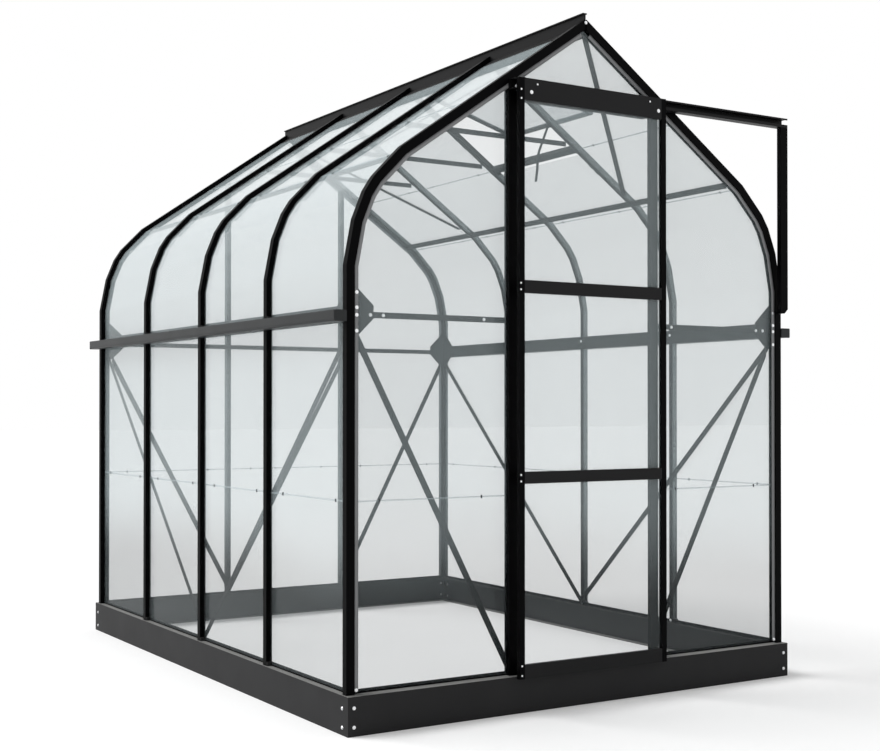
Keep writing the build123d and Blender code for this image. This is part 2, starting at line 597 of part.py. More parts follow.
RAIL_BACK = DOOR_BACK - DOOR_SHEET
RAIL_LEFT = DOOR_LEFT + STILE_WIDTH
RAIL_RIGHT = DOOR_RIGHT - STILE_WIDTH
HEADER_BOTTOM = DOOR_TOP - HEADER_HEIGHT
DOOR_RAILS = MID_RAILS + ((DOOR_BOTTOM, DOOR_BOTTOM + BOTTOM_RAIL),)
with BuildPart() as door_rails:
    with BuildSketch(Plane.YZ.offset(RAIL_LEFT)):
        for bottom, top in DOOR_RAILS:
            span(DOOR_FRONT, RAIL_BACK, bottom, top)
            with Locations(((DOOR_FRONT + RAIL_BACK) / 2, (bottom + top) / 2)):
                Rectangle(RAIL_BACK - DOOR_FRONT - 2 * DOOR_SHEET, top - bottom - 2 * DOOR_SHEET,
                          mode=Mode.SUBTRACT)
    extrude(amount=RAIL_RIGHT - RAIL_LEFT)
door_rails.part.label = "door_rails"
export_step(door_rails.part, "parts/door_rails.step")

with BuildPart() as door_header:
    with BuildSketch(Plane.YZ.offset(RAIL_LEFT)):
        span(DOOR_FRONT, DOOR_FRONT + DOOR_SHEET, HEADER_BOTTOM, DOOR_TOP)
        span(DOOR_FRONT, RAIL_BACK, DOOR_TOP - DOOR_SHEET, DOOR_TOP)
        span(DOOR_FRONT, RAIL_BACK, HEADER_BOTTOM, HEADER_BOTTOM + DOOR_SHEET)
    extrude(amount=RAIL_RIGHT - RAIL_LEFT)
door_header.part.label = "door_header"
export_step(door_header.part, "parts/door_header.step")

WHEEL_HEIGHT = TRACK_BOTTOM + TRACK_SHEET + WHEEL_RUN + WHEEL_RADIUS
WHEEL_MIDDLE = (TRACK_FRONT + TRACK_SHEET - HALF_Y - TRACK_SHEET) / 2
with BuildPart() as door_wheels:
    for x in (RAIL_LEFT + WHEEL_INSET, RAIL_RIGHT - WHEEL_INSET):
        with BuildSketch(Plane.XZ.offset(-(WHEEL_MIDDLE - WHEEL_WIDTH / 2))):
            with Locations((x, WHEEL_HEIGHT)):
                Circle(WHEEL_RADIUS)
        extrude(amount=-WHEEL_WIDTH)
        with BuildSketch(Plane.XZ.offset(-(DOOR_FRONT + DOOR_SHEET))):
            with Locations((x, WHEEL_HEIGHT)):
                Circle(AXLE_RADIUS)
        extrude(amount=-(WHEEL_MIDDLE - DOOR_FRONT - DOOR_SHEET))
door_wheels.part.label = "door_wheels"
export_step(door_wheels.part, "parts/door_wheels.step")

DOOR_GLASS_FRONT = DOOR_FRONT + DOOR_GLASS_INSET
MID_EDGES = [edge for pair in MID_RAILS for edge in pair]
RAIL_EDGES = sorted([DOOR_BOTTOM + BOTTOM_RAIL, *MID_EDGES, HEADER_BOTTOM])
with BuildPart() as door_glass:
    with BuildSketch(Plane.XZ.offset(-DOOR_GLASS_FRONT)):
        for bottom, top in zip(RAIL_EDGES[0::2], RAIL_EDGES[1::2]):
            span(RAIL_LEFT, RAIL_RIGHT, bottom, top)
    extrude(amount=-GLASS)
door_glass.part.label = "door_glass"
export_step(door_glass.part, "parts/door_glass.step")

# ---------------------------------------------------------------- roof vent, propped open
VENT_WIDTH = VENT_FINISH - VENT_START
VENT_PLANE = Plane(origin=(VENT_HINGE, (VENT_START + VENT_FINISH) / 2, VENT_TOP),
                   x_dir=(cos(VENT_LEAN), 0, -sin(VENT_LEAN)), z_dir=(sin(VENT_LEAN), 0, cos(VENT_LEAN)))
with BuildPart() as vent_frame:
    with BuildSketch(VENT_PLANE.offset(-VENT_DEPTH)):
        span(0, VENT_LENGTH, -VENT_WIDTH / 2, VENT_WIDTH / 2)
        with Locations((VENT_LENGTH / 2, 0)):
            Rectangle(VENT_LENGTH - 2 * VENT_FRAME, VENT_WIDTH - 2 * VENT_FRAME, mode=Mode.SUBTRACT)
    extrude(amount=VENT_DEPTH)
vent_frame.part.label = "vent_frame"
export_step(vent_frame.part, "parts/vent_frame.step")

with BuildPart() as vent_glass:
    with BuildSketch(VENT_PLANE.offset(-(VENT_DEPTH + GLASS) / 2)):
        span(VENT_FRAME, VENT_LENGTH - VENT_FRAME, VENT_FRAME - VENT_WIDTH / 2, VENT_WIDTH / 2 - VENT_FRAME)
    extrude(amount=GLASS)
vent_glass.part.label = "vent_glass"
export_step(vent_glass.part, "parts/vent_glass.step")

VENT_EDGES = (STATIONS[VENT_BAY] + CAP_WIDTH / 2, STATIONS[VENT_BAY + 1] - CAP_WIDTH / 2)
with BuildPart() as vent_sill_bar:
    with BuildSketch(slope_plane(1, VENT_SILL_DEPTH)):
        span(VENT_SILL_RUN - VENT_SILL_WIDTH / 2, VENT_SILL_RUN + VENT_SILL_WIDTH / 2, *VENT_EDGES)
    extrude(amount=VENT_SILL_DEPTH + VENT_SILL_RISE)
vent_sill_bar.part.label = "vent_sill_bar"
export_step(vent_sill_bar.part, "parts/vent_sill_bar.step")

STAY_TOP = VENT_PLANE.from_local_coords((VENT_LENGTH - VENT_FRAME / 2, STAY_MIDDLE, -VENT_DEPTH - STRIP))
STAY_PLANE = Plane(origin=STAY_TOP, x_dir=(-cos(STAY_SKEW), -sin(STAY_SKEW), 0),
                   z_dir=(-sin(STAY_SKEW), cos(STAY_SKEW), 0))
SILL_INNER_X = (VENT_SILL_RUN - VENT_SILL_WIDTH / 2) * cos(PITCH) - VENT_SILL_DEPTH * sin(PITCH)
STAY_TURN = (STAY_TOP.X - SILL_INNER_X) / cos(STAY_SKEW)
STAY_ROUTE = [(0, 0)] + [(STAY_TURN + past, drop) for past, drop in STAY_BENDS]
with BuildPart() as vent_stay:
    with BuildSketch(STAY_PLANE):
        half = STAY_SHEET / 2
        Polygon(*[(reach + half, -drop) for reach, drop in STAY_ROUTE],
                *[(reach - half, -drop) for reach, drop in STAY_ROUTE[::-1]], align=None)
    extrude(amount=STAY_WIDTH / 2, both=True)
    with BuildSketch(VENT_PLANE.offset(-VENT_DEPTH)):
        with Locations((VENT_LENGTH - VENT_FRAME / 2, STAY_MIDDLE)):
            Rectangle(2 * STAY_WIDTH, 2 * STAY_WIDTH)
    extrude(amount=-STRIP)
vent_stay.part.label = "vent_stay"
export_step(vent_stay.part, "parts/vent_stay.step")

# ---------------------------------------------------------------- glass
PANE_BOTTOM = BASE_HEIGHT + SILL_BEAD + GLASS_GAP
EAVE_BOTTOM = PANE_TOP + GLASS_GAP
EAVE_LAP = HALF_X - EAVE_REACH
PANE_TOP_X = WING_REACH + GLASS_GAP
VENT_PANE_TOP = (VENT_SILL_RUN + VENT_SILL_WIDTH / 2 + GLASS_GAP) * cos(PITCH)
for side_name, sign in SIDES:
    with BuildPart() as wall_glass:
        for start, finish in bay_spans():
            with BuildSketch(Plane.XZ.offset(-start)):
                for bottom, top in ((PANE_BOTTOM, LAP_HEIGHT), (LAP_HEIGHT + GLASS_GAP, PANE_TOP)):
                    span(sign * (HALF_X - GLASS_DEPTH), sign * (HALF_X - GLASS_BACK), bottom, top)
            extrude(amount=start - finish)
    wall_glass.part.label = f"{side_name}_wall_glass"
    export_step(wall_glass.part, f"parts/{side_name}_wall_glass.step")

    with BuildPart() as eave_panels:
        for start, finish in bay_spans():
            with BuildSketch(Plane.XZ.offset(-start)):
                Polygon(*bow_band(sign, GLASS_DEPTH, GLASS_BACK, EAVE_BOTTOM, EAVE_LAP), align=None)
            extrude(amount=start - finish)
    eave_panels.part.label = f"{side_name}_eave_panels"
    export_step(eave_panels.part, f"parts/{side_name}_eave_panels.step")

    with BuildPart() as roof_glass:
        for bay, (start, finish) in enumerate(bay_spans()):
            panes = ((ROOF_LAP, EAVE_LAP - GLASS_GAP), (PANE_TOP_X, ROOF_LAP - GLASS_GAP))
            if side_name == "right" and bay == VENT_BAY:
                panes = ((VENT_PANE_TOP, EAVE_LAP - GLASS_GAP),)
            with BuildSketch(Plane.XZ.offset(-start)):
                for near, far in panes:
                    Polygon(*slope_band(sign, GLASS_DEPTH, GLASS_BACK, near, far), align=None)
            extrude(amount=start - finish)
    roof_glass.part.label = f"{side_name}_roof_glass"
    export_step(roof_glass.part, f"parts/{side_name}_roof_glass.step")

TOP_EDGE = FIN_BOTTOM - GLASS_GAP
PEAK_X = (APEX - TOP_EDGE - GLASS_EDGE / cos(PITCH)) / tan(PITCH)


def gable_side_pane(sign, inner_x):
    """Outline of the gable glass between a corner post's bow and an upright."""
    points = bow_line(GLASS_EDGE, PANE_BOTTOM, inner_x) + [(inner_x, PANE_BOTTOM)]
    return [(sign * x, z) for x, z in points]


def gable_middle_pane(half, bottom):
    """Outline of the gable glass between two uprights, up to the ridge bar."""
    eave = roof_height(half, GLASS_EDGE)
    return [(-half, bottom), (half, bottom), (half, eave),
            (PEAK_X, TOP_EDGE), (-PEAK_X, TOP_EDGE), (-half, eave)]


FRONT_PANES = [gable_side_pane(sign, POST_FACE + GLASS_GAP) for side_name, sign in SIDES]
FRONT_PANES.append(gable_middle_pane(POST_WEB - GLASS_GAP, LINTEL_BOTTOM + RAIL_SHEET + GLASS_GAP))
BACK_PANES = [gable_side_pane(sign, BACK_FACE + GLASS_GAP) for side_name, sign in SIDES]
BACK_PANES.append(gable_middle_pane(BACK_FACE - WEB - GLASS_GAP, PANE_BOTTOM))
for (end_name, end), panes in zip(ENDS, (FRONT_PANES, BACK_PANES)):
    with BuildPart() as gable_glass:
        with BuildSketch(gable_plane(end, GLASS_DEPTH)):
            for outline in panes:
                Polygon(*outline, align=None)
        extrude(amount=end * GLASS)
    gable_glass.part.label = f"{end_name}_gable_glass"
    export_step(gable_glass.part, f"parts/{end_name}_gable_glass.step")
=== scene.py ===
"""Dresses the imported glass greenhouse: metal and glass finishes, bolts, clips, seals and the stage."""

import json
from math import cos, pi, radians, sin, tan

import bmesh
import bpy
from mathutils import Matrix, Vector


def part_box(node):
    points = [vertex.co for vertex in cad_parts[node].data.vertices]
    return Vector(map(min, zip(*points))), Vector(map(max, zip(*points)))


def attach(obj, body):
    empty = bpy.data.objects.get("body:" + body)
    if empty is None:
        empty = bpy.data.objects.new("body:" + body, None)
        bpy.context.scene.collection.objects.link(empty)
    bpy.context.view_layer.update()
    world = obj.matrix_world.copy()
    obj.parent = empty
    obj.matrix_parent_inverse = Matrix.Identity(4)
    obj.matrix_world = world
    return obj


bl_info = {
    "name": "Glass Greenhouse",
    "version": (1, 0, 0),
    "blender": (4, 5, 0),
    "location": "View3D > Sidebar > Greenhouse",
    "description": "Finishes, bolts, glazing clips, seals and a studio stage for a glass greenhouse",
    "category": "Object",
}

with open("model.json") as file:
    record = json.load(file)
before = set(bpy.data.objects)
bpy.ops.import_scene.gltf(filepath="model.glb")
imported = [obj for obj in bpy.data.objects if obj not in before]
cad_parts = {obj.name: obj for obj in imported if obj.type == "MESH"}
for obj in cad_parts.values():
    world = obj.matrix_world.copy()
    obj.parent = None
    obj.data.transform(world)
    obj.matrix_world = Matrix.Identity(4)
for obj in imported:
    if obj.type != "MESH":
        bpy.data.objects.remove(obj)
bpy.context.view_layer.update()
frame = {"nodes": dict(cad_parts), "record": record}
MM = 0.001
BOTH = (-1, 1)                                  # left and right, or front and back


# ---------------------------------------------------------------- measuring the frame
def low(node):
    """Lowest corner of a CAD node."""
    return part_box(node)[0]


def high(node):
    """Highest corner of a CAD node."""
    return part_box(node)[1]


HALF_X = high("right_side_bars").x              # outer faces of the side bars and the gables
HALF_Y = high("back_corner_posts").y
BASE_X = high("base_right").x
BASE_Y = high("base_back").y
BASE_TOP = high("base_front").z
SILL_TOP = high("sill_front").z
GUTTER_TOP = high("gutter_left").z
BAYS = 4
STATIONS = [HALF_Y * (2 * n / BAYS - 1) for n in range(BAYS + 1)]
BAR_STATIONS = STATIONS[1:-1]
BAR_HALF = high("right_side_bars").y - STATIONS[-2]     # half a bar's width
WALL_GLASS = high("right_wall_glass").x         # outer faces of the panes
GABLE_GLASS = high("back_gable_glass").y
PANE_DEPTH = HALF_X - WALL_GLASS                # of the panes, behind the bars' faces

# ---------------------------------------------------------------- sizes that the frame doesn't give
BASE_WALL = 2.5 * MM                            # thickness of the base's upright sheet
BOX_DEPTH = 18 * MM                             # of the bars' hollow boxes
SEAT_BACK = 25 * MM                             # back of the seats that the glass beds on
BAR_DEPTH = 28 * MM                             # of a whole bar
PITCH = radians(35)                             # of the roof
EAVE_BEND = 1502 * MM                           # height where the bows leave the wall
EAVE_CHORDS = (150 * MM, 102 * MM, 60 * MM, 148 * MM)
LAP_HEIGHT = 742.5 * MM                         # joint of the lower and upper panes
ROOF_JOINT = 430.5 * MM                         # across from the ridge, joint of the roof's panes
DOOR_RAILS = (1458 * MM, 805 * MM)              # middle heights of the door's cross rails

# grey strips that edge the gables' glass
STRIP_DEPTH = 4 * MM                            # of their faces, behind the gables'
STRIP_WALL = 2 * MM
STRIP_SPAN = (30 * MM, 45 * MM)                 # their edges, behind the bows' faces
STRIP_END = 18 * MM                             # from the ridge plane

# bolts of the frame and the base; insets are from their sides
PLATE_BOLT_DROPS = (30 * MM, 79 * MM, 103 * MM, 154 * MM)       # below the corner plates' tops
PLATE_BOLT_INSET = 39 * MM
SILL_BOLT_INSET = 38 * MM
SILL_BOLT_RISE = 1 * MM                         # its middle, above the sill's top
BAR_BOLT_DROP = 6 * MM                          # below the sill's top
PEAK_BOLT_DEPTH = 11 * MM                       # behind the bows' faces
RAIL_BOLT_INSETS = {-1: (100 * MM, 148 * MM), 1: (74 * MM, 110 * MM)}       # left and right
RAIL_POST_BOLT = 418 * MM                       # across from the middle of the gable
POST_BOLTS = {-1: 326 * MM, 1: 320 * MM}        # across, at the feet of the front and the back posts
POST_BOLT_HEIGHT = 160 * MM
BASE_BOLT_HEIGHTS = (91 * MM, 30 * MM)
BASE_END_INSET = 22 * MM                        # of the bolts in the base's ends
BASE_SIDE_INSET = 39 * MM                       # of those in its sides, which sit a little lower
BASE_SIDE_DROP = 5 * MM
TRACK_BOLT = (7 * MM, 5.5 * MM)                 # in from the track's end, and up

# bolts and screws of the door; insets are from its sides, drops and rises from its top and foot
HEADER_BOLTS = (50 * MM, 36 * MM)               # insets, left and right
HEADER_BOLT_DROP = 47 * MM
HEADER_SCREW_DROPS = (41 * MM, 72 * MM)
HEADER_SCREW_INSET = 8 * MM
FOOT_SCREW_RISES = (45 * MM, 12 * MM)
FOOT_SCREW_INSET = 10 * MM
RAIL_SCREW_RISE = 11 * MM                       # above and below a rail's middle
RAIL_SCREW_INSET = 6 * MM

# seals, clips and beads
SEAL_GAP = 1 * MM                               # between a lap's seal and the bar beside it
SEAL_SHEET = 1.2 * MM
GABLE_SEAL_INSET = 32 * MM                      # from the gable's side
BACK_SEAL_TUCK = 2 * MM                         # of the side seals, in behind the back posts
BACK_SEAL_INSET = 34 * MM                       # of the middle seal, from the back posts' outer sides
LAP_CLIP_SIZE = (11 * MM, 3 * MM, 4.5 * MM)     # up the pane, out from it, and along the lap
ROOF_CLIPS = (550 * MM, 520 * MM, 440 * MM, 390 * MM, 295 * MM, 250 * MM)   # across from the ridge
ROOF_CLIP_HALF = 10 * MM                        # half its length
ROOF_CLIP_WIDTH = 9 * MM
ROOF_CLIP_WIRE = 3.5 * MM
ROOF_CLIP_RISE = 2 * MM                         # its middle, above the glass
ROOF_CLIP_SETBACK = 4 * MM                      # its middle, from the pane's side
BEAD_END = 40 * MM                              # from the ridge plane
BEAD_WALL = 0.8 * MM

# stops and caps
STOP_SIZE = (15 * MM, 8 * MM, 14 * MM)
STOP_DEPTH = 9 * MM                             # its middle, behind the bars' faces
CAP_WALL = 3 * MM                               # of the gutters' caps
CAP_FIT = 1 * MM                                # narrower and taller than the gutter by this
CAP_RADIUS = 4 * MM

# the stage, in metres
EYE = (-3.01505, -5.19347, 1.04111)
EYE_TILT, EYE_TURN = radians(90.53), radians(-32.24)
EYE_SHIFT = (-0.02268, 0.02305)                 # shares of the sensor's width
KEY_AIM = (0.55, -0.45, -0.9)                   # the way the sun's light goes
KEY_SPREAD = radians(35)
FLOOR_REACH = 60.0


def bow_line(depth, foot):
    """X and Z of points along the right-hand bow at a depth behind its face, from the foot to the ridge."""
    turn = (radians(90) - PITCH) / (len(EAVE_CHORDS) + 1)
    x, z = HALF_X, EAVE_BEND
    corners = [(x, z)]
    for bend, chord in enumerate(EAVE_CHORDS, start=1):
        x -= chord * sin(bend * turn)
        z += chord * cos(bend * turn)
        corners.append((x, z))
    apex = z + x * tan(PITCH)
    points = [(HALF_X - depth, foot)]
    for bend, (x, z) in enumerate(corners):
        middle = (bend + 0.5) * turn
        reach = depth / cos(turn / 2)
        points.append((x - reach * cos(middle), z - reach * sin(middle)))
    points.append((0.0, apex - depth / cos(PITCH)))
    return points


def roof_point(x, depth):
    """X and Z of the point of the right-hand slope that lies at an X, at a depth behind its face."""
    (x0, z0), (x1, z1) = bow_line(depth, 0)[-2:]
    return x, z0 + (z1 - z0) * (x - x0) / (x1 - x0)


# ---------------------------------------------------------------- materials
def linear(code):
    """Linear colour, with an alpha of 1, from an sRGB hex code such as "#20a0ff"."""
    channels = [int(code[n:n + 2], 16) / 255 for n in (1, 3, 5)]
    return tuple(c / 12.92 if c <= 0.04045 else ((c + 0.055) / 1.055) ** 2.4 for c in channels) + (1.0,)


def add(tree, kind, settings=(), **links):
    """Add a node of a kind. Links fill its inputs, by name or as i0 by number, with sockets or values."""
    node = tree.nodes.new(kind)
    for name, value in dict(settings).items():
        setattr(node, name, value)
    for name, value in links.items():
        socket = node.inputs[int(name[1:])] if name[1:].isdigit() else node.inputs[name.replace("_", " ")]
        for source in value if isinstance(value, list) else [value]:
            if isinstance(source, bpy.types.NodeSocket):
                tree.links.new(source, socket)
            else:
                socket.default_value = source
    return node


def new_material(name):
    """An empty node material and its tree."""
    made = bpy.data.materials.new(name)
    made.use_nodes = True
    made.node_tree.nodes.clear()
    return made, made.node_tree


def powder_coat(name, shade, darker, roughness, specular, painted_top_light=0.0):
    """Powder coat on metal, oven-cured: satin, a little cloudy, with a faint orange peel in the gloss.

    The clouds are a hand wide and the peel's bumps 2.2 mm. What faces up can get a painted top light: it is
    mixed towards a light grey."""
    made, tree = new_material(name)
    light = tuple(shade)
    dark = tuple(c * darker for c in light[:3]) + (1.0,)
    place = add(tree, "ShaderNodeTexCoord").outputs["Object"]
    cloud = add(tree, "ShaderNodeTexNoise", Vector=place, Scale=1 / (167 * MM), Detail=3.0).outputs["Fac"]
    peel = add(tree, "ShaderNodeTexNoise", Vector=place, Scale=1 / (2.2 * MM), Detail=2.0).outputs["Fac"]
    tone = add(tree, "ShaderNodeMix", {"data_type": "RGBA"}, i0=cloud, i6=light, i7=dark).outputs[2]
    # painted top light: faces that look up are mixed towards a light grey, standing in for the light from
    # above
    if painted_top_light:
        facing = add(tree, "ShaderNodeNewGeometry").outputs["Normal"]
        upward = add(tree, "ShaderNodeSeparateXYZ", Vector=facing).outputs["Z"]
        painted_top_light_share = add(tree, "ShaderNodeMapRange", Value=upward, From_Min=0.6, From_Max=0.95, To_Max=painted_top_light)
        tone = add(tree, "ShaderNodeMix", {"data_type": "RGBA"}, i0=painted_top_light_share.outputs[0], i6=tone,
                   i7=linear("#8c8c8a")).outputs[2]
    gloss = add(tree, "ShaderNodeMapRange", Value=cloud, To_Min=roughness - 0.05, To_Max=roughness + 0.05)
    bump = add(tree, "ShaderNodeBump", Strength=0.12, Distance=0.4 * MM, Height=peel)
    coat = add(tree, "ShaderNodeBsdfPrincipled", Base_Color=tone, Roughness=gloss.outputs[0],
               Specular_IOR_Level=specular, Normal=bump.outputs[0])
    add(tree, "ShaderNodeOutputMaterial", Surface=coat.outputs[0])
    return made


def clear_pane(name, tint, haze, roughness):
    """Thin clear pane: it lets most light through and mirrors more of the sky the flatter it is seen.

    Its lowest half metre has a painted reflection of the ground: a darker tint and a thinner veil, up to a
    soft line that wavers every metre or so. It throws almost no shadow."""
    made, tree = new_material(name)
    waver, painted_ground_shade, painted_ground_haze, full_mirror, shadow_share = 300 * MM, 0.3, 0.8, 0.9, 0.1
    place = add(tree, "ShaderNodeTexCoord").outputs["Object"]
    height = add(tree, "ShaderNodeSeparateXYZ", Vector=place).outputs["Z"]
    streaks = add(tree, "ShaderNodeTexNoise", Vector=place, Scale=1 / (910 * MM),
                  Detail=2.0).outputs["Fac"]
    # painted reflection: the height of the line between the ground's and the sky's painted reflections,
    # wavering with the noise
    level = add(tree, "ShaderNodeMath", {"operation": "MULTIPLY_ADD"},
                i0=streaks, i1=waver, i2=height).outputs[0]
    sky = add(tree, "ShaderNodeMapRange", {"interpolation_type": "SMOOTHSTEP"}, Value=level,
              From_Min=500 * MM, From_Max=850 * MM).outputs[0]
    # painted reflection of the ground: the tint darkened and the veil thinned, low on the pane
    painted_ground_reflection = tuple(c * painted_ground_shade for c in tint[:3]) + (1.0,)
    veil = add(tree, "ShaderNodeMapRange", Value=sky, To_Min=haze * painted_ground_haze, To_Max=haze).outputs[0]
    shade = add(tree, "ShaderNodeMix", {"data_type": "RGBA"}, i0=sky, i6=painted_ground_reflection, i7=tint)
    slant = add(tree, "ShaderNodeLayerWeight", Blend=0.5).outputs["Facing"]
    mirror = add(tree, "ShaderNodeMath", {"operation": "POWER"}, i0=slant, i1=5.0).outputs[0]
    cover = add(tree, "ShaderNodeMapRange", Value=mirror, To_Min=veil, To_Max=full_mirror).outputs[0]
    shadow = add(tree, "ShaderNodeLightPath").outputs["Is Shadow Ray"]
    share = add(tree, "ShaderNodeMapRange", Value=shadow, To_Min=1.0, To_Max=shadow_share).outputs[0]
    cover = add(tree, "ShaderNodeMath", {"operation": "MULTIPLY"}, i0=cover, i1=share)
    pane = add(tree, "ShaderNodeBsdfPrincipled", Base_Color=shade.outputs[2], Roughness=roughness, IOR=1.5,
               Alpha=cover.outputs[0])
    add(tree, "ShaderNodeOutputMaterial", Surface=pane.outputs[0])
    return made


def bright_zinc():
    """Zinc-plated steel bolt heads: bright, slightly brushed, near white where they catch the light.

    The brushed grain is 1.1 mm wide, coarser than a real one, so that it shows."""
    name = "Bright zinc plate"
    if name in bpy.data.materials:
        return bpy.data.materials[name]
    made, tree = new_material(name)
    place = add(tree, "ShaderNodeTexCoord").outputs["Object"]
    grain = add(tree, "ShaderNodeTexNoise", Vector=place, Scale=1 / (1.1 * MM), Detail=1.0).outputs["Fac"]
    gloss = add(tree, "ShaderNodeMapRange", Value=grain, To_Min=0.25, To_Max=0.45)
    metal = add(tree, "ShaderNodeBsdfPrincipled", Base_Color=linear("#f3f4f5"), Metallic=1.0,
                Roughness=gloss.outputs[0])
    add(tree, "ShaderNodeOutputMaterial", Surface=metal.outputs[0])
    return made


def plastic(name, light, dark, mottle, roughness, ior):
    """Plastic or rubber of two shades, with a mottle of the given size along X, Y and Z."""
    if name in bpy.data.materials:
        return bpy.data.materials[name]
    made, tree = new_material(name)
    place = add(tree, "ShaderNodeTexCoord").outputs["Object"]
    sized = add(tree, "ShaderNodeMapping", Vector=place,
                Scale=tuple(1 / extent for extent in mottle)).outputs[0]
    cloud = add(tree, "ShaderNodeTexNoise", Vector=sized, Scale=1.0, Detail=2.0).outputs["Fac"]
    tone = add(tree, "ShaderNodeMix", {"data_type": "RGBA"}, i0=cloud, i6=linear(light), i7=linear(dark))
    body = add(tree, "ShaderNodeBsdfPrincipled", Base_Color=tone.outputs[2], Roughness=roughness, IOR=ior)
    add(tree, "ShaderNodeOutputMaterial", Surface=body.outputs[0])
    return made


def nylon():
    """Moulded nylon rollers: off-white, waxy, faintly mottled."""
    return plastic("Moulded nylon", "#c8c6bd", "#b4b2a8", (12.5 * MM,) * 3, 0.42, 1.53)


def rubber():
    """Extruded EPDM glazing rubber: dull black with a faint bloom."""
    return plastic("Glazing rubber", "#0b0b0c", "#161617", (25 * MM,) * 3, 0.8, 1.5)


def grey_pvc():
    """Extruded grey PVC: matt, with a faint draw of lines along it.

    The lines are 3.3 mm wide, coarser than real ones, so that they show."""
    return plastic("Extruded grey PVC", "#8a8b8c", "#77787a", (3.3 * MM, 3.3 * MM, 83 * MM), 0.55, 1.53)


# ---------------------------------------------------------------- settings
def colour(name, description, code):
    """A colour setting with its default as an sRGB hex code."""
    return bpy.props.FloatVectorProperty(name=name, description=description, subtype="COLOR", size=4,
                                         min=0, max=1, default=linear(code))


def size(name, description, millimetres, least, most):
    """A length setting, with its default and limits in millimetres."""
    return bpy.props.FloatProperty(name=name, description=description, subtype="DISTANCE", unit="LENGTH",
                                   default=millimetres * MM, min=least * MM, max=most * MM)


class FinishSettings(bpy.types.PropertyGroup):
    """Colours and gloss of the finishes."""
    bar_colour: colour("Bars", "Powder coat on the glazing bars, posts and braces", "#030304")
    door_colour: colour("Door rails", "Powder coat on the door's rails and header", "#1f1f20")
    gutter_colour: colour("Gutters", "Powder coat on the gutters", "#343637")
    ridge_colour: colour("Ridge", "Powder coat on the ridge bar and the door's track", "#131314")
    base_colour: colour("Base", "Powder coat on the steel base", "#2a2a2b")
    glass_tint: colour("Glass", "Tint of the panes", "#cad7da")
    glass_haze: bpy.props.FloatProperty(
        name="Glass haze", description="Light that one face of a pane keeps back when seen squarely",
        subtype="FACTOR", min=0, max=1, default=0.17)


class BoltSettings(bpy.types.PropertyGroup):
    """Sizes of the bolts, clips and seals."""
    across: size("Nut width", "Across the flats of a frame nut", 9, 4, 30)
    height: size("Nut height", "Height of a frame nut", 2.4, 1, 10)
    clip_offset: size("Clip offset", "From a pane's side to the clip that holds its lap", 98, 20, 300)
    seal_height: size("Lap seal", "Height of the clear strip along a lap", 5, 2, 20)
    bead: size("Bead", "Width of the rubber bead between a bar and its glass", 4, 1, 10)


class StageSettings(bpy.types.PropertyGroup):
    """Camera and light."""
    lens: bpy.props.FloatProperty(
        name="Lens", description="Focal length of the camera", subtype="DISTANCE_CAMERA",
        min=10, max=200, default=56.87)
    sky: bpy.props.FloatProperty(
        name="Sky", description="Strength of the light from all round", min=0, max=2, default=0.45)
    key: bpy.props.FloatProperty(
        name="Key light", description="Strength of the soft sun", min=0, max=10, default=2.3)


# ---------------------------------------------------------------- helpers for pieces
def dress(nodes, finish):
    """Give CAD nodes a material."""
    for name in nodes:
        for holder in frame["nodes"][name].material_slots:
            holder.link = "OBJECT"
            holder.material = finish


def of_slot(slot, without=()):
    """Names of the CAD nodes that the record gives a material slot, but for those that have another coat."""
    return [part["node"] for part in frame["record"]["subparts"]
            if part["material_slot"] == slot and part["node"] not in without]


def new_tree(name, inputs):
    """A geometry tree with named inputs, and its group input's outputs."""
    tree = bpy.data.node_groups.new(name, "GeometryNodeTree")
    tree.interface.new_socket(name="Geometry", in_out="INPUT", socket_type="NodeSocketGeometry")
    for label, kind in inputs.items():
        tree.interface.new_socket(name=label, in_out="INPUT", socket_type=kind)
    tree.interface.new_socket(name="Geometry", in_out="OUTPUT", socket_type="NodeSocketGeometry")
    return tree, add(tree, "NodeGroupInput").outputs


def close_tree(tree, shape, finish):
    """End a tree with real geometry in its material."""
    real = add(tree, "GeometryNodeRealizeInstances", Geometry=shape)
    coated = add(tree, "GeometryNodeSetMaterial", Geometry=real.outputs[0], Material=finish)
    add(tree, "NodeGroupOutput", i0=coated.outputs[0])
    return tree


def grow(name, body, points, edges, tree, values, aims=None):
    """Run a tree on points and edges, keep what it makes as a plain mesh, and let it ride on a body."""
    seed = bpy.data.meshes.new(name)
    seed.from_pydata([tuple(point) for point in points], edges, [])
    if aims:
        facing = seed.attributes.new("aim", "FLOAT_VECTOR", "POINT")
        facing.data.foreach_set("vector", [number for aim in aims for number in aim])
    piece = bpy.data.objects.new(name, seed)
    bpy.context.scene.collection.objects.link(piece)
    modifier = piece.modifiers.new(name, "NODES")
    modifier.node_group = tree
    for item in tree.interface.items_tree:
        if item.in_out == "INPUT" and item.name in values:
            modifier[item.identifier] = values[item.name]
    depsgraph = bpy.context.evaluated_depsgraph_get()
    made = bpy.data.meshes.new_from_object(piece.evaluated_get(depsgraph))
    piece.modifiers.clear()
    piece.data = made
    made.name = name
    if not made.polygons:
        raise RuntimeError(f"{name} came out empty")
    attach(piece, body)
    return piece


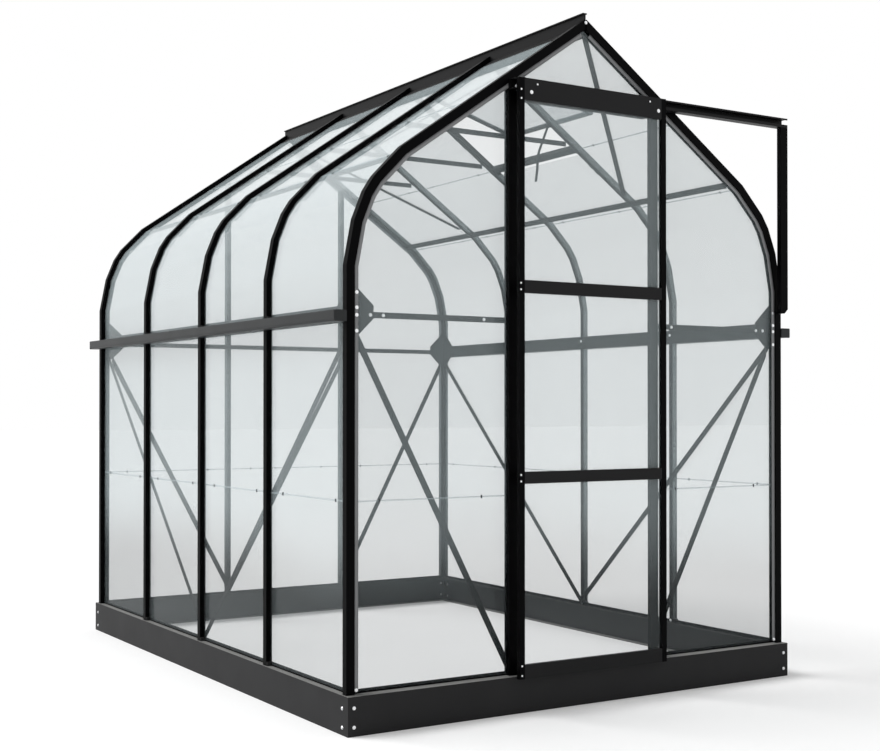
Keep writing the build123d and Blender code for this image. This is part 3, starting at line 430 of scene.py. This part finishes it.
def nut_tree():
    """Hexagon nuts, each on a washer with its bolt's end through it, turned every which way.

    Each of the three has a number of sides, a radius over the nut's width and a height over the nut's."""
    tree, given = new_tree("Frame nuts", {"Width": "NodeSocketFloat", "Height": "NodeSocketFloat",
                                          "Seed": "NodeSocketInt", "Material": "NodeSocketMaterial"})
    shapes = []
    for sides, wide, tall in ((14, 0.68, 0.3), (6, 0.577, 1.0), (10, 0.3, 1.35)):
        radius = add(tree, "ShaderNodeMath", {"operation": "MULTIPLY"}, i0=given["Width"], i1=wide).outputs[0]
        depth = add(tree, "ShaderNodeMath", {"operation": "MULTIPLY"}, i0=given["Height"], i1=tall).outputs[0]
        turned = add(tree, "GeometryNodeMeshCylinder", Vertices=sides, Radius=radius, Depth=depth)
        half = add(tree, "ShaderNodeMath", {"operation": "MULTIPLY"}, i0=depth, i1=0.5).outputs[0]
        lift = add(tree, "ShaderNodeCombineXYZ", Z=half).outputs[0]
        shapes.append(add(tree, "GeometryNodeTransform", Geometry=turned.outputs[0],
                          Translation=lift).outputs[0])
    nut = add(tree, "GeometryNodeJoinGeometry", Geometry=shapes).outputs[0]
    aim = add(tree, "GeometryNodeInputNamedAttribute", {"data_type": "FLOAT_VECTOR"}, Name="aim").outputs[0]
    upright = add(tree, "FunctionNodeAlignRotationToVector", {"axis": "Z"}, Vector=aim).outputs[0]
    placed = add(tree, "GeometryNodeInstanceOnPoints", Points=given["Geometry"], Instance=nut,
                 Rotation=upright)
    spin = add(tree, "FunctionNodeRandomValue", {"data_type": "FLOAT"}, i3=2 * pi,
               Seed=given["Seed"]).outputs[1]
    turn = add(tree, "ShaderNodeCombineXYZ", Z=spin).outputs[0]
    spun = add(tree, "GeometryNodeRotateInstances", Instances=placed.outputs[0], Rotation=turn)
    return close_tree(tree, spun.outputs[0], given["Material"])


def block_tree():
    """Small blocks, one on each point."""
    tree, given = new_tree("Blocks", {"Size": "NodeSocketVector", "Material": "NodeSocketMaterial"})
    block = add(tree, "GeometryNodeMeshCube", Size=given["Size"]).outputs[0]
    placed = add(tree, "GeometryNodeInstanceOnPoints", Points=given["Geometry"], Instance=block)
    return close_tree(tree, placed.outputs[0], given["Material"])


def held_lines(tree, geometry):
    """Curves along the edges, with the points' aims as their normals."""
    line = add(tree, "GeometryNodeMeshToCurve", Mesh=geometry).outputs[0]
    aim = add(tree, "GeometryNodeInputNamedAttribute", {"data_type": "FLOAT_VECTOR"}, Name="aim").outputs[0]
    return add(tree, "GeometryNodeSetCurveNormal", {"mode": "FREE"}, Curve=line, Normal=aim).outputs[0]


def lap_clip_tree():
    """Two clips on each lap, at a distance from its ends."""
    tree, given = new_tree("Lap clips", {"Offset": "NodeSocketFloat", "Size": "NodeSocketVector",
                                         "Material": "NodeSocketMaterial"})
    lap = held_lines(tree, given["Geometry"])
    length = add(tree, "GeometryNodeSplineLength").outputs["Length"]
    far = add(tree, "ShaderNodeMath", {"operation": "SUBTRACT"}, i0=length, i1=given["Offset"]).outputs[0]
    inner = add(tree, "GeometryNodeTrimCurve", {"mode": "LENGTH"}, Curve=lap, i4=given["Offset"],
                i5=far).outputs[0]
    ends = add(tree, "GeometryNodeResampleCurve", {"mode": "COUNT"}, Curve=inner, Count=2).outputs[0]
    points = add(tree, "GeometryNodeCurveToPoints", {"mode": "EVALUATED"}, Curve=ends)
    clip = add(tree, "GeometryNodeMeshCube", Size=given["Size"]).outputs[0]
    placed = add(tree, "GeometryNodeInstanceOnPoints", Points=points.outputs[0], Instance=clip,
                 Rotation=points.outputs["Rotation"])
    return close_tree(tree, placed.outputs[0], given["Material"])


def strip_tree():
    """A strip of oblong section along each line, with its width along the line's aim."""
    tree, given = new_tree("Strip along a line", {"Width": "NodeSocketFloat", "Thickness": "NodeSocketFloat",
                                                  "Material": "NodeSocketMaterial"})
    section = add(tree, "GeometryNodeCurvePrimitiveQuadrilateral", Width=given["Width"],
                  Height=given["Thickness"]).outputs[0]
    strip = add(tree, "GeometryNodeCurveToMesh", Curve=held_lines(tree, given["Geometry"]),
                Profile_Curve=section, Fill_Caps=True).outputs[0]
    return close_tree(tree, strip, given["Material"])


def grow_lines(name, lines, tree, values):
    """Run a tree along lines of the frame. Each line is its points and its aim."""
    points, edges, aims = [], [], []
    for line, aim in lines:
        edges += [(len(points) + n, len(points) + n + 1) for n in range(len(line) - 1)]
        points += line
        aims += [aim] * len(line)
    return grow(name, "frame", points, edges, tree, values, aims)


# ---------------------------------------------------------------- where the bolts sit
def rail_bolts(side, end):
    """Place and aim of the bolts in one side of a gable's rail: two by the corner and one by the post."""
    middle = (low("front_gable_rails").z + high("front_gable_rails").z) / 2
    for x in [HALF_X - inset for inset in RAIL_BOLT_INSETS[side]] + [RAIL_POST_BOLT]:
        yield (side * x, end * (HALF_Y - SEAT_BACK), middle), (0, end, 0)


def base_bolts(side, end):
    """Place and aim of the bolts at one corner of the base, outside and inside."""
    across, along = side * (BASE_X - BASE_END_INSET), end * (BASE_Y - BASE_SIDE_INSET)
    for z in BASE_BOLT_HEIGHTS:
        yield (across, end * BASE_Y, z), (0, end, 0)
        yield (side * BASE_X, along, z - BASE_SIDE_DROP), (side, 0, 0)
        yield (side * (BASE_X - BASE_WALL), along, z - BASE_SIDE_DROP), (-side, 0, 0)
        yield (across, end * (BASE_Y - BASE_WALL), z), (0, -end, 0)


def frame_bolts():
    """Place and aim of each bolt in the frame and the base."""
    for side in BOTH:
        for end in BOTH:
            yield from rail_bolts(side, end)
            yield from base_bolts(side, end)
        for station in BAR_STATIONS:
            yield (side * (HALF_X - SEAT_BACK), station, SILL_TOP - BAR_BOLT_DROP), (-side, 0, 0)
            yield (side * (HALF_X - BAR_DEPTH), station, GUTTER_TOP), (-side, 0, 0)
        for end in BOTH:
            yield (side * POST_BOLTS[end], end * (HALF_Y - BAR_DEPTH), POST_BOLT_HEIGHT), (0, end, 0)
    peak = roof_point(0, PEAK_BOLT_DEPTH)[1]
    for end in BOTH:
        yield (0, end * HALF_Y, peak), (0, end, 0)
    lip = low("door_track")
    yield (lip.x + TRACK_BOLT[0], lip.y, lip.z + TRACK_BOLT[1]), (0, -1, 0)


def strip_bolts():
    """Place and aim of each bolt through the grey strips, into the corner plates and the sills."""
    top = high("corner_plates").z
    for side in BOTH:
        for end in BOTH:
            face = end * (HALF_Y - STRIP_DEPTH)
            for drop in PLATE_BOLT_DROPS:
                yield (side * (HALF_X - PLATE_BOLT_INSET), face, top - drop), (0, end, 0)
            yield (side * (HALF_X - SILL_BOLT_INSET), face, SILL_TOP + SILL_BOLT_RISE), (0, end, 0)


def header_bolts():
    """Place and aim of the two large bolts in the door's header."""
    front, z = low("door_header").y, high("door_header").z - HEADER_BOLT_DROP
    for x in (low("door_stiles").x + HEADER_BOLTS[0], high("door_stiles").x - HEADER_BOLTS[1]):
        yield (x, front, z), (0, -1, 0)


def door_bolts():
    """Place and aim of the wheels' axle ends and of the small screws in the door's left stile."""
    front, top = low("door_header").y, high("door_header").z
    left, foot = low("door_stiles").x, low("door_stiles").z
    first, last = low("door_wheels"), high("door_wheels")
    radius = (last.z - first.z) / 2
    spots = [(first.x + radius, first.z + radius), (last.x - radius, first.z + radius)]
    spots += [(left + HEADER_SCREW_INSET, top - drop) for drop in HEADER_SCREW_DROPS]
    spots += [(left + FOOT_SCREW_INSET, foot + rise) for rise in FOOT_SCREW_RISES]
    spots += [(left + RAIL_SCREW_INSET, z + up * RAIL_SCREW_RISE) for z in DOOR_RAILS for up in (1, -1)]
    for x, z in spots:
        yield (x, front, z), (0, -1, 0)


# ---------------------------------------------------------------- operators
class GREENHOUSE_OT_metal(bpy.types.Operator):
    """Coat the frame, the base and the door, and give the door's rollers their plastic"""
    bl_idname = "greenhouse.metal"
    bl_label = "Coat the metal"

    def execute(self, context):
        finish = context.scene.greenhouse_finish
        coats = (
            # name, colour, roughness, specular level, and nodes, where none means all the others
            ("Satin black powder coat", finish.bar_colour, 0.45, 0.04, ()),
            ("Satin charcoal powder coat", finish.door_colour, 0.45, 0.12, ("door_header", "door_rails")),
            ("Satin grey powder coat", finish.gutter_colour, 0.4, 0.15, ("gutter_left", "gutter_right")),
            ("Satin graphite powder coat", finish.ridge_colour, 0.4, 0.12, ("ridge_bar", "door_track")),
        )
        others = [node for *coat, nodes in coats for node in nodes]
        for name, shade, roughness, specular, nodes in coats:
            coat = powder_coat(name, shade, darker=0.75, roughness=roughness, specular=specular)
            dress(nodes or of_slot("black_frame", without=others), coat)
        # the base's upward faces get a painted top light
        base = powder_coat("Satin base powder coat", finish.base_colour, darker=0.8, roughness=0.5,
                           specular=0.15, painted_top_light=0.8)
        dress(of_slot("base_steel"), base)
        dress(of_slot("nylon"), nylon())
        return {"FINISHED"}


class GREENHOUSE_OT_glass(bpy.types.Operator):
    """Give the panes and the bent eave sheets their clear materials"""
    bl_idname = "greenhouse.glass"
    bl_label = "Glaze the panes"

    def execute(self, context):
        finish = context.scene.greenhouse_finish
        tint, haze = tuple(finish.glass_tint), finish.glass_haze
        dress(of_slot("clear_glass"), clear_pane("Clear float glass", tint, haze, roughness=0.02))
        dress(of_slot("eave_sheet"), clear_pane("Clear acrylic sheet", tint, haze, roughness=0.05))
        return {"FINISHED"}


class GREENHOUSE_OT_nuts(bpy.types.Operator):
    """Bolt the frame, the base and the door together"""
    bl_idname = "greenhouse.nuts"
    bl_label = "Fit the nuts and bolts"

    def execute(self, context):
        bolts, tree = context.scene.greenhouse_bolts, nut_tree()
        for name, body, spots, scale, seed in (
                ("frame_nuts", "frame", frame_bolts(), 1.0, 3),
                ("strip_nuts", "frame", strip_bolts(), 1.0, 3),
                ("door_nuts", "door", header_bolts(), 1.1, 2),
                ("door_screws", "door", door_bolts(), 0.55, 10)):
            points, aims = zip(*spots)
            grow(name, body, points, [], tree,
                 {"Width": bolts.across * scale, "Height": bolts.height * scale, "Seed": seed,
                  "Material": bright_zinc()}, aims)
        return {"FINISHED"}


class GREENHOUSE_OT_laps(bpy.types.Operator):
    """Seal and clip the laps between the panes"""
    bl_idname = "greenhouse.laps"
    bl_label = "Seal the laps"

    def execute(self, context):
        bolts, finish = context.scene.greenhouse_bolts, context.scene.greenhouse_finish
        vent = STATIONS.index(min(STATIONS, key=lambda y: abs(y - low("vent_frame").y)))
        laps, clips = [], []
        for side in BOTH:
            slope = (side * cos(PITCH), 0, -sin(PITCH))
            for bay in range(BAYS):
                has_vent = (side, bay) == (1, vent)
                inset = BAR_HALF + SEAL_GAP
                start, stop = STATIONS[bay] + inset, STATIONS[bay + 1] - inset
                laps.append(([(side * WALL_GLASS, y, LAP_HEIGHT) for y in (start, stop)], (0, 0, 1)))
                joints = [bow_line(PANE_DEPTH, 0)[-2]]
                if not has_vent:
                    joints.append(roof_point(ROOF_JOINT, PANE_DEPTH))
                laps += [([(side * x, y, z) for y in (start, stop)], slope) for x, z in joints]
                for across in ROOF_CLIPS:
                    if has_vent and across < ROOF_JOINT:
                        continue
                    clip = [roof_point(across + turn * ROOF_CLIP_HALF, PANE_DEPTH - ROOF_CLIP_RISE)
                            for turn in BOTH]
                    clips += [([(side * x, y, z) for x, z in clip], (0, 1, 0))
                              for y in (start + ROOF_CLIP_SETBACK, stop - ROOF_CLIP_SETBACK)]
        for end, post in ((-1, high("door_posts").x), (1, high("back_posts").x - BACK_SEAL_TUCK)):
            for side in BOTH:
                lap = [(side * x, end * GABLE_GLASS, LAP_HEIGHT) for x in (HALF_X - GABLE_SEAL_INSET, post)]
                laps.append((lap, (0, 0, 1)))
        inner = low("back_posts").x + BACK_SEAL_INSET
        laps.append(([(x, GABLE_GLASS, LAP_HEIGHT) for x in (inner, -inner)], (0, 0, 1)))
        seal = clear_pane("Clear PVC lap seal", tuple(finish.glass_tint), haze=0.3, roughness=0.25)
        piece = grow_lines("lap_seals", laps, strip_tree(),
                           {"Width": bolts.seal_height, "Thickness": SEAL_SHEET, "Material": seal})
        grow_lines("lap_clips", laps, lap_clip_tree(),
                   {"Offset": bolts.clip_offset, "Size": LAP_CLIP_SIZE,
                    "Material": bpy.data.materials["Satin grey powder coat"]})
        grow_lines("roof_clips", clips, strip_tree(),
                   {"Width": ROOF_CLIP_WIDTH, "Thickness": ROOF_CLIP_WIRE, "Material": rubber()})
        return {"FINISHED"}


class GREENHOUSE_OT_beads(bpy.types.Operator):
    """Bed the glass on rubber beads, and edge the gables' glass with grey strips"""
    bl_idname = "greenhouse.beads"
    bl_label = "Bed the glass"

    def execute(self, context):
        bead = context.scene.greenhouse_bolts.bead
        depth = (PANE_DEPTH + BOX_DEPTH) / 2            # midway between the boxes and the glass
        path = bow_line(depth, SILL_TOP)[:-1] + [roof_point(BEAD_END, depth)]
        lines = [([(side * x, station + turn * (BAR_HALF - bead / 2), z) for x, z in path], (0, 1, 0))
                 for side in BOTH for station in BAR_STATIONS for turn in BOTH]
        grow_lines("glass_beads", lines, strip_tree(),
                   {"Width": bead, "Thickness": BEAD_WALL, "Material": rubber()})

        outer, inner = STRIP_SPAN
        depth = (inner + outer) / 2
        path = bow_line(depth, SILL_TOP)[:-1] + [roof_point(STRIP_END, depth)]
        y = HALF_Y - STRIP_DEPTH - STRIP_WALL / 2
        lines = [([(side * x, end * y, z) for x, z in path], (0, 1, 0)) for end in BOTH for side in BOTH]
        grow_lines("gable_strips", lines, strip_tree(),
                   {"Width": STRIP_WALL, "Thickness": inner - outer, "Material": grey_pvc()})
        return {"FINISHED"}


class GREENHOUSE_OT_feet(bpy.types.Operator):
    """Add the small stops at the bars' feet and behind the gutters, and cap the gutters"""
    bl_idname = "greenhouse.feet"
    bl_label = "Add stops and caps"

    def execute(self, context):
        wide, tall = STOP_SIZE[1:]
        stops = [(side * (HALF_X - STOP_DEPTH), station - BAR_HALF - wide / 2, z + tall / 2)
                 for side in BOTH for station in BAR_STATIONS for z in (BASE_TOP, GUTTER_TOP)]
        grow("bar_stops", "frame", stops, [], block_tree(), {"Size": STOP_SIZE, "Material": rubber()})

        shell = bmesh.new()
        for gutter in ("gutter_left", "gutter_right"):
            at, to = low(gutter), high(gutter)
            for y in (at.y - CAP_WALL / 2, to.y + CAP_WALL / 2):
                bmesh.ops.create_cube(shell, size=1.0, matrix=Matrix.LocRotScale(
                    ((at.x + to.x) / 2, y, (at.z + to.z) / 2), None,
                    (to.x - at.x - CAP_FIT, CAP_WALL, to.z - at.z + CAP_FIT)))
        edges = [edge for edge in shell.edges if abs(edge.verts[0].co.y - edge.verts[1].co.y) > CAP_WALL / 2]
        bmesh.ops.bevel(shell, geom=edges, offset=CAP_RADIUS, segments=3, affect="EDGES", profile=0.5)
        made = bpy.data.meshes.new("gutter_caps")
        shell.to_mesh(made)
        shell.free()
        made.materials.append(bpy.data.materials["Satin grey powder coat"])
        caps = bpy.data.objects.new("gutter_caps", made)
        context.scene.collection.objects.link(caps)
        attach(caps, "frame")
        return {"FINISHED"}


class GREENHOUSE_OT_stage(bpy.types.Operator):
    """Add the floor, the light and the camera"""
    bl_idname = "greenhouse.stage"
    bl_label = "Set the stage"

    def execute(self, context):
        scene = context.scene
        stage = scene.greenhouse_stage
        scene.view_settings.view_transform = "Standard"

        floor_mesh = bpy.data.meshes.new("studio_floor")
        corners = [(x * FLOOR_REACH, y * FLOOR_REACH, 0) for x, y in ((-1, -1), (1, -1), (1, 1), (-1, 1))]
        floor_mesh.from_pydata(corners, [], [(0, 1, 2, 3)])
        floor = bpy.data.objects.new("studio_floor", floor_mesh)
        scene.collection.objects.link(floor)
        paper, tree = new_material("White studio paper")
        path = add(tree, "ShaderNodeLightPath")
        sheet = add(tree, "ShaderNodeBsdfDiffuse", Color=linear("#efefef"))
        lift = add(tree, "ShaderNodeEmission", Color=linear("#ffffff"), Strength=0.2)
        both = add(tree, "ShaderNodeAddShader", i0=sheet.outputs[0], i1=lift.outputs[0])
        mixed = add(tree, "ShaderNodeMixShader", Fac=path.outputs["Is Camera Ray"],
                    i1=sheet.outputs[0], i2=both.outputs[0])
        add(tree, "ShaderNodeOutputMaterial", Surface=mixed.outputs[0])
        floor_mesh.materials.append(paper)

        world = bpy.data.worlds.new("White studio")
        scene.world = world
        world.use_nodes = True
        tree = world.node_tree
        tree.nodes.clear()
        path = add(tree, "ShaderNodeLightPath")
        seen = add(tree, "ShaderNodeMath", {"operation": "MAXIMUM"},
                   i0=path.outputs["Is Camera Ray"], i1=path.outputs["Is Glossy Ray"])
        seen = add(tree, "ShaderNodeMath", {"operation": "MAXIMUM"},
                   i0=seen.outputs[0], i1=path.outputs["Is Transmission Ray"])
        level = add(tree, "ShaderNodeMapRange", Value=seen.outputs[0], To_Min=stage.sky, To_Max=1.0)
        sky = add(tree, "ShaderNodeBackground", Color=linear("#ffffff"), Strength=level.outputs[0])
        add(tree, "ShaderNodeOutputWorld", Surface=sky.outputs[0])

        lamp = bpy.data.lights.new("key_light", "SUN")
        lamp.energy = stage.key
        lamp.angle = KEY_SPREAD
        key = bpy.data.objects.new("key_light", lamp)
        key.rotation_mode = "QUATERNION"
        key.rotation_quaternion = Vector(KEY_AIM).to_track_quat("-Z", "Y")
        scene.collection.objects.link(key)

        camera = bpy.data.cameras.new("camera")
        camera.lens = stage.lens
        camera.sensor_width = 36.0
        camera.shift_x, camera.shift_y = EYE_SHIFT
        camera.clip_end = 200.0
        eye = bpy.data.objects.new("camera", camera)
        eye.location = EYE
        eye.rotation_euler = (EYE_TILT, 0.0, EYE_TURN)
        scene.collection.objects.link(eye)
        scene.camera = eye
        return {"FINISHED"}


class GREENHOUSE_PT_panel(bpy.types.Panel):
    """Settings and steps in the 3D view's sidebar"""
    bl_idname = "GREENHOUSE_PT_panel"
    bl_label = "Glass Greenhouse"
    bl_space_type = "VIEW_3D"
    bl_region_type = "UI"
    bl_category = "Greenhouse"

    def draw(self, context):
        layout = self.layout
        for settings in (context.scene.greenhouse_finish, context.scene.greenhouse_bolts,
                         context.scene.greenhouse_stage):
            column = layout.column(align=True)
            for name in settings.__annotations__:
                column.prop(settings, name)
        for step in STEPS:
            layout.operator(step.bl_idname)


SETTINGS = {"greenhouse_finish": FinishSettings, "greenhouse_bolts": BoltSettings,
            "greenhouse_stage": StageSettings}
STEPS = (GREENHOUSE_OT_metal, GREENHOUSE_OT_glass, GREENHOUSE_OT_nuts, GREENHOUSE_OT_laps,
         GREENHOUSE_OT_beads, GREENHOUSE_OT_feet, GREENHOUSE_OT_stage)
CLASSES = (*SETTINGS.values(), *STEPS, GREENHOUSE_PT_panel)


def register():
    for item in CLASSES:
        bpy.utils.register_class(item)
    for name, group in SETTINGS.items():
        setattr(bpy.types.Scene, name, bpy.props.PointerProperty(type=group))


def unregister():
    for name in SETTINGS:
        delattr(bpy.types.Scene, name)
    for item in reversed(CLASSES):
        bpy.utils.unregister_class(item)


def main():
    register()
    for step in STEPS:
        group, name = step.bl_idname.split(".")
        getattr(getattr(bpy.ops, group), name)()


if __name__ == "__main__":
    main()
